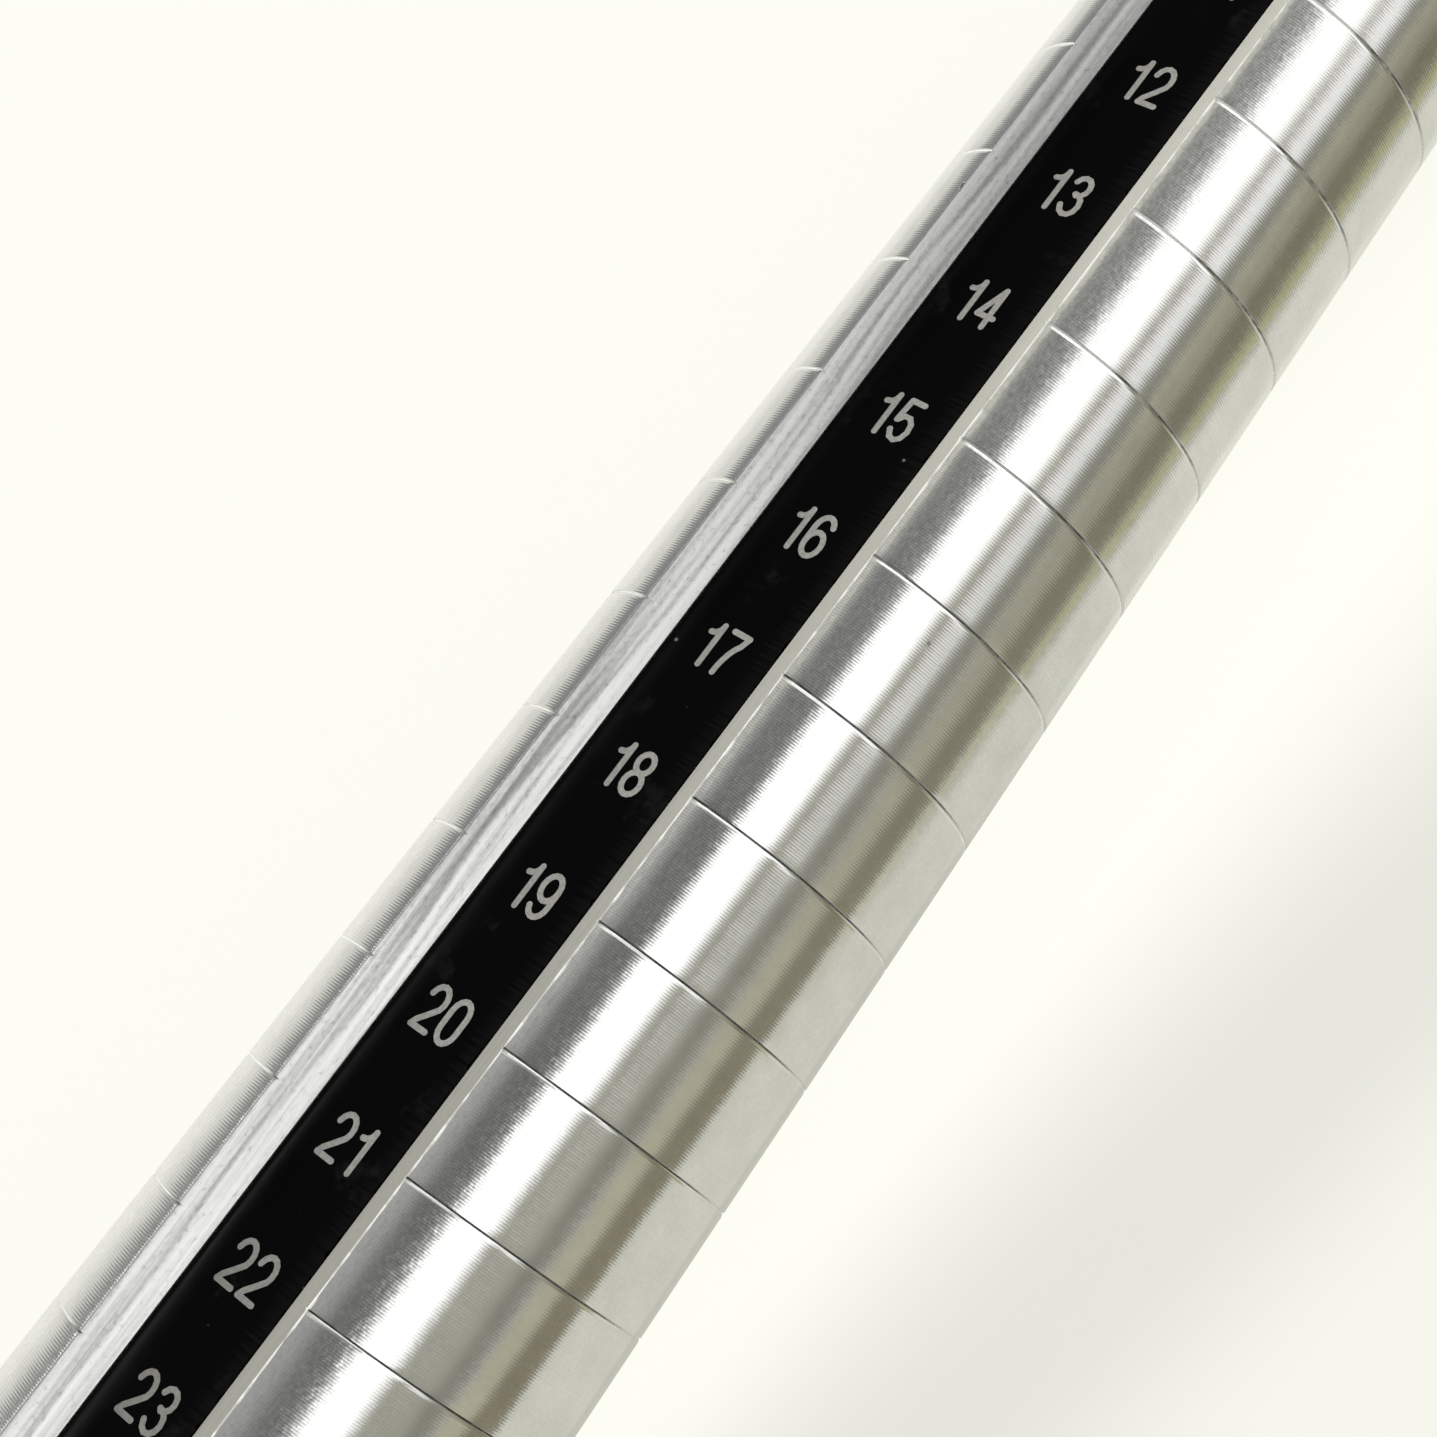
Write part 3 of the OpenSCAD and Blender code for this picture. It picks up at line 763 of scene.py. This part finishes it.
def grip_plastic(name):
    """Satin moulded black with a fine spark-eroded texture and a little handling shine on its ridges."""
    made, n, place = material(name)
    pebble = n.noise(place, 5200.0, 3.0, 0.55)
    patch = n.noise(place, 90.0, 3.0, 0.5)
    worn = n.smooth(n.add("ShaderNodeNewGeometry").outputs["Pointiness"], 0.505, 0.54)
    rough = n.minus(n.linear(patch, 0.3, 0.7, 0.30, 0.40), n.times(worn, 0.08))
    colour = n.mix(worn, (0.014, 0.014, 0.015, 1.0), (0.030, 0.030, 0.031, 1.0))
    surface(n, Base_Color=colour, Roughness=rough, Specular_IOR_Level=0.9,
            Normal=n.bump(pebble, 0.35, 0.05 * MM))
    return made


def smooth_metal(name, tint, rough):
    """Plated or polished metal with fine drawing marks and scuffed patches."""
    made, n, place = material(name)
    drawn = n.noise(place, 2600.0, 3.0, 0.6)
    scuff = n.noise(place, 420.0, 4.0, 0.65)
    shade = n.linear(scuff, 0.3, 0.7, 0.88, 1.02)
    surface(n, Base_Color=n.scale(tint, shade), Metallic=1.0,
            Roughness=n.linear(scuff, 0.3, 0.75, rough, rough * 2.2), Normal=n.bump(drawn, 0.12, 0.02 * MM))
    return made


def tape_white(name):
    """Double-sided tape with fibres along it."""
    made, n, place = material(name)
    fibre = n.noise(n.stretch(place, (3000.0, 9000.0, 9000.0)), 1.0, 3.0, 0.6)
    colour = n.mix(fibre, (0.62, 0.58, 0.46, 1.0), (0.80, 0.77, 0.66, 1.0))
    surface(n, Base_Color=colour, Roughness=0.6, Normal=n.bump(fibre, 0.3, 0.02 * MM))
    return made


# The floor's glow is painted light
GLOW = 0.62                    # share of the floor's brightness that is its own
SHADOW_SLANT = 0.18            # how far the floor's tones drift sideways along the stick
# Places across the floor, from the stick's axis. A band of painted light lies under the stick and in front
# of it, standing in for light that the metal throws
LIT_FROM, LIT_FULL = 10 * MM, 0.0
LIT_FADING, LIT_TO = -9 * MM, -19 * MM
# A painted soft shadow lies in front of that, on top of the cast one, and painted light on the open floor
# in front of the shadow
SHADE_FROM, SHADE_FULL = -8 * MM, -19 * MM
SHADE_FADING, SHADE_TO = -21.5 * MM, -30 * MM
OPEN_FULL = -29 * MM


def floor_pale(name):
    """A pale table that glows a little as painted light, as an overexposed white table does, so its shadows
    stay faint; bands beside the stick hold painted light and painted shadow.
    """
    made, n, place = material(name)
    soft = n.noise(place, 30.0, 3.0, 0.5)
    colour = n.mix(soft, (0.90, 0.90, 0.84, 1.0), (0.92, 0.92, 0.865, 1.0))
    x, y, _ = n.split(place)
    beside = n.times(n.smooth(x, SHOULDER_X, line_x(23)), n.smooth(x, TIP_X, line_x(9)))
    out = n.times_plus(n.minus(x, line_x(18)), SHADOW_SLANT, y)
    lit = n.times(n.smooth(out, LIT_TO, LIT_FADING), n.smooth(out, LIT_FROM, LIT_FULL))
    shade = n.times(n.smooth(out, SHADE_FROM, SHADE_FULL), n.smooth(out, SHADE_TO, SHADE_FADING))
    beyond = n.smooth(out, SHADE_FADING, OPEN_FULL)
    # Painted light and painted shadow, in bands beside the stick
    change = n.minus(n.times(lit, 0.08), n.times(shade, 0.14))
    change = n.times_plus(beyond, 0.05, change)
    level = n.times_plus(change, beside, 1.06)
    shader = n.add("ShaderNodeBsdfPrincipled",
                   {"Base Color": colour, "Roughness": 0.7, "Specular IOR Level": 0.1})
    glow = n.add("ShaderNodeEmission", {"Color": (1.0, 1.0, 0.925, 1.0), "Strength": level})
    glowing = n.add("ShaderNodeMixShader", {0: GLOW, 1: shader, 2: glow})
    n.add("ShaderNodeOutputMaterial", {"Surface": glowing})
    return made


def paint(obj, *materials):
    """Gives an object these materials. Clearing the old ones would also reset which face has which."""
    if obj.data.materials:
        obj.data.materials.clear()
    for m in materials:
        obj.data.materials.append(m)


# ---- Put the pieces together ----

ALUMINIUM = (0.90, 0.90, 0.885)
turned_aluminium = turned_metal("turned_aluminium", ALUMINIUM)
collar_aluminium = turned_metal("collar_aluminium", (0.86, 0.86, 0.85), rough=0.2)
# Painted reflection: the far wall darkens and the near wall pales towards the tip
far_wall = milled_metal("milled_far_wall", (0.88, 0.88, 0.87), 0.8, painted_tone_to_tip=-0.42)
# The near wall is the same milled metal, coloured a dull dark grey as painted shade
near_wall = milled_metal("milled_near_wall", (0.40, 0.393, 0.355), 0.12, painted_tone_to_tip=0.58)
mandrel_materials = [turned_aluminium, far_wall, near_wall,
                     line_metal("engraved_line"), rim_burr_painted_glint("rim_burr_painted_glint")]
steel = smooth_metal("plated_steel", (0.62, 0.63, 0.64), 0.25)
chrome = smooth_metal("polished_steel", (0.78, 0.78, 0.78), 0.08)
lug_metal = smooth_metal("cap_aluminium", (0.84, 0.84, 0.83), 0.22)


def place_piece(obj, body, nodes, slot, *materials):
    """Paints a piece, hangs it on a body, and hides the CAD nodes it stands for."""
    paint(obj, *materials)
    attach(obj, body)
    if nodes:
        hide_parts(*nodes)


place_piece(build_mandrel(), "stick", ["mandrel"], "turned_aluminium", *mandrel_materials)
place_piece(build_strip(), "stick", ["scale_strip"], "black_strip", strip_black("strip_black"))
place_piece(build_collar(), "stick", ["collar"], "collar_aluminium", collar_aluminium)
place_piece(build_grip(), "stick", ["grip"], "grip_plastic", grip_plastic("grip_plastic"))
place_piece(build_cap(), "stick", ["end_cap"], "cap_aluminium", collar_aluminium)
place_piece(build_lug(), "stick", [], "cap_aluminium", lug_metal)
place_piece(build_loop(), "loop", ["hang_loop"], "loop_steel", chrome)
paint(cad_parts["size_numbers"], number_ink("number_ink"))
paint(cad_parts["strip_tape"], tape_white("tape_white"))
for name in ("tie_rod", "washer", "nut"):
    paint(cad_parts[name], steel)

# ---- Floor, light and camera ----

FLOOR_HALF = 12.0
FLOOR_GAP = 0.1 * MM


def build_floor():
    """The floor. The bright metal doesn't see it, but the surroundings below in its place."""
    corners = [(-1, -1), (1, -1), (1, 1), (-1, 1)]
    floor = new_object("floor", [(x * FLOOR_HALF, y * FLOOR_HALF, 0) for x, y in corners], [(0, 1, 2, 3)])
    floor.location.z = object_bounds()[0].z - FLOOR_GAP
    paint(floor, floor_pale("floor_pale"))
    floor.visible_glossy = False


NEUTRAL = (1.0, 1.0, 0.985)
WHITE_TABLE = (1.0, 1.0, 0.93)
CREAM = (1.0, 1.0, 0.885)
PALE_SAND = (1.0, 0.985, 0.83)
SAND = (1.0, 0.955, 0.72)
BROWN = (1.0, 0.915, 0.64)
YELLOW = (1.0, 0.985, 0.42)
ROSE = (1.0, 0.93, 0.96)
MINT = (0.93, 1.0, 0.97)
EVERYWHERE, GRIP_END, TIP_END, PAST_TIP = range(4)

# What the bright metal sees round the stick. Angles are in degrees from straight up, growing towards
# the camera's side: (name, from, to, softness of the edges, brightness, tint, which end of the room)
SURROUNDINGS = [
    ("room", -300, 300, 1, 0.36, NEUTRAL, EVERYWHERE),
    ("table_behind", -200, -95, 3, 0.70, WHITE_TABLE, EVERYWHERE),
    ("table_behind_lit", -158, -110, 12, 0.87, WHITE_TABLE, EVERYWHERE),
    ("back_wall", -95, -76, 2, 0.25, NEUTRAL, EVERYWHERE),
    ("small_lamp_behind", -72, -58, 2, 2.2, NEUTRAL, GRIP_END),
    ("dark_ceiling", -56, -14, 8, 0.03, NEUTRAL, EVERYWHERE),
    ("bright_ceiling", 4, 20.5, 2, 0.66, CREAM, TIP_END),
    ("dark_beam", 23, 39.8, 5, 0.14, NEUTRAL, GRIP_END),
    ("dark_beam_far", 20.5, 38.3, 1.5, 0.195, NEUTRAL, TIP_END),
    ("window_fade", 58, 67, 9, 0.95, NEUTRAL, GRIP_END),
    ("window", 42.3, 61, 3, 1.35, NEUTRAL, GRIP_END),
    ("window_far", 41, 64.5, 2, 1.35, NEUTRAL, TIP_END),
    ("dim_wall", 64, 84, 5, 0.36, PALE_SAND, GRIP_END),
    ("dim_wall_far", 64, 84, 5, 0.36, PALE_SAND, TIP_END),
    ("second_window", 70.5, 81.5, 2, 0.95, NEUTRAL, TIP_END),
    ("second_window_first_edge", 71, 74, 2, 0.90, ROSE, TIP_END),
    ("second_window_last_edge", 77, 80, 2, 0.88, MINT, TIP_END),
    ("dark_wall", 84, 93, 7, 0.255, PALE_SAND, EVERYWHERE),
    ("shelf_edge", 96, 110, 7, 0.46, SAND, GRIP_END),
    ("shelf_edge_far", 92, 97, 3, 0.40, SAND, TIP_END),
    ("shelf_edge_dim", 97, 107, 3, 0.31, SAND, TIP_END),
    ("shelf", 109, 125, 7, 0.235, BROWN, GRIP_END),
    ("shelf_far", 107, 124, 3, 0.20, BROWN, TIP_END),
    ("table_in_front", 125, 200, 5, 0.64, CREAM, GRIP_END),
    ("shelf_shadow", 124, 136, 8, 0.27, SAND, TIP_END),
    ("shelf_rim", 127, 132, 2, 0.42, YELLOW, TIP_END),
    ("table_in_front_far", 136, 200, 12, 0.70, CREAM, TIP_END),
    ("table_under", -200, -152, 6, 0.56, CREAM, GRIP_END),
    ("table_under_far", -200, -150, 6, 0.82, CREAM, TIP_END),
    ("bright_sky", 14, 84, 6, 1.3, NEUTRAL, PAST_TIP),
]
SLANT_BEHIND, SLANT_IN_FRONT = -16.0, 9.0   # degrees that edges climb from one end of the room to the other
MIDDLE = 0.24                  # share of the direction along the stick at the middle of the view
END_BLEND = 0.09               # how softly the two ends of the room meet


def room_seen(n, direction):
    """The colour of the surroundings in one direction."""
    dx, dy, dz = n.split(direction)
    angle = n.math("DEGREES", n.math("ARCTAN2", n.times(dy, -1.0), dz))
    slant = n.linear(angle, -95, 45, SLANT_BEHIND, SLANT_IN_FRONT)
    slanted = n.minus(angle, n.times(n.minus(dx, MIDDLE), slant))
    tip_end = n.smooth(dx, MIDDLE - END_BLEND, MIDDLE + END_BLEND)
    shares = {GRIP_END: n.minus(1.0, tip_end), TIP_END: tip_end, PAST_TIP: n.smooth(dx, 0.60, 0.68)}
    colour = grey(0.0)
    for _, start, end, soft, level, tint, place in SURROUNDINGS:
        mask = n.smooth(slanted, start - soft / 2, start + soft / 2)
        mask = n.times(mask, n.smooth(slanted, end - soft / 2, end + soft / 2, 1.0, 0.0))
        if place in shares:
            mask = n.times(mask, shares[place])
        colour = n.mix(mask, colour, (*(level * c for c in tint), 1.0))
    behind_grip = n.mix(n.smooth(n.math("ABSOLUTE", angle), 118, 150), grey(0.05), grey(0.6))
    colour = n.mix(n.smooth(dx, -0.35, -0.7), colour, behind_grip)
    return n.mix(n.smooth(dx, 0.93, 0.99), colour, grey(0.5))


def build_world():
    """Glossy rays see the surroundings above. The camera and soft light see an even, pale room."""
    world = bpy.data.worlds.new("studio")
    bpy.context.scene.world = world
    world.use_nodes = True
    world.cycles.sampling_method = "NONE"
    n = Nodes(world.node_tree)
    direction = n.add("ShaderNodeTexCoord").outputs["Generated"]
    seen = n.add("ShaderNodeBackground", {"Color": room_seen(n, direction), "Strength": 1.0})
    plain = n.add("ShaderNodeBackground", {"Color": (1.0, 1.0, 0.965, 1.0), "Strength": 0.7})
    shown = n.add("ShaderNodeBackground", {"Color": (1.0, 1.0, 0.96, 1.0), "Strength": 0.94})
    path = n.add("ShaderNodeLightPath").outputs
    mirrored = n.times(path["Is Glossy Ray"], n.math("LESS_THAN", path["Diffuse Depth"], 0.5))
    lighting = n.add("ShaderNodeMixShader", {0: mirrored, 1: plain, 2: seen})
    both = n.add("ShaderNodeMixShader", {0: path["Is Camera Ray"], 1: lighting, 2: shown})
    n.add("ShaderNodeOutputWorld", {"Surface": both})


LIGHT_FROM = (-0.05, 0.945, 0.325)         # low behind the stick
LIGHT_SPREAD = 11.4            # degrees across, as a soft box gives
LIGHT_STRENGTH = 2.49


def build_light():
    """One soft light. The bright metal sees the surroundings above in its place."""
    light = bpy.data.lights.new("soft_light", "SUN")
    light.angle = math.radians(LIGHT_SPREAD)
    light.energy = LIGHT_STRENGTH
    light.color = (1.0, 1.0, 0.97)
    lamp = bpy.data.objects.new("soft_light", light)
    bpy.context.scene.collection.objects.link(lamp)
    lamp.rotation_mode = "QUATERNION"
    lamp.rotation_quaternion = (-Vector(LIGHT_FROM)).to_track_quat("-Z", "Y")
    lamp.visible_glossy = False


CAMERA_AZIMUTH = -16.08        # degrees round from looking along +Y
CAMERA_ELEVATION = 55.93       # degrees above the floor
CAMERA_ROLL = -40.44           # degrees, the stick climbs to the right
CAMERA_DISTANCE = 123.4 * MM
CAMERA_LENS = 72.87            # mm on a 36 mm sensor
AIM_SIZE = 17.2                # the size line that the camera looks at
AIM_Y = 2.9 * MM


def build_camera():
    data = bpy.data.cameras.new("camera")
    data.lens = CAMERA_LENS
    data.sensor_width = 36.0
    data.clip_start = 0.01
    data.clip_end = 50
    camera = bpy.data.objects.new("camera", data)
    bpy.context.scene.collection.objects.link(camera)
    a, e = math.radians(CAMERA_AZIMUTH), math.radians(CAMERA_ELEVATION)
    back = Vector((math.sin(a) * math.cos(e), -math.cos(a) * math.cos(e), math.sin(e)))
    aim = Vector((line_x(AIM_SIZE), AIM_Y, 0))
    camera.location = aim + back * CAMERA_DISTANCE
    camera.rotation_mode = "QUATERNION"
    level = (-back).to_track_quat("-Z", "Y")
    camera.rotation_quaternion = level @ Quaternion((0, 0, 1), math.radians(CAMERA_ROLL))
    bpy.context.scene.camera = camera


build_floor()
build_world()
build_light()
build_camera()
bpy.context.scene.view_settings.view_transform = "Standard"
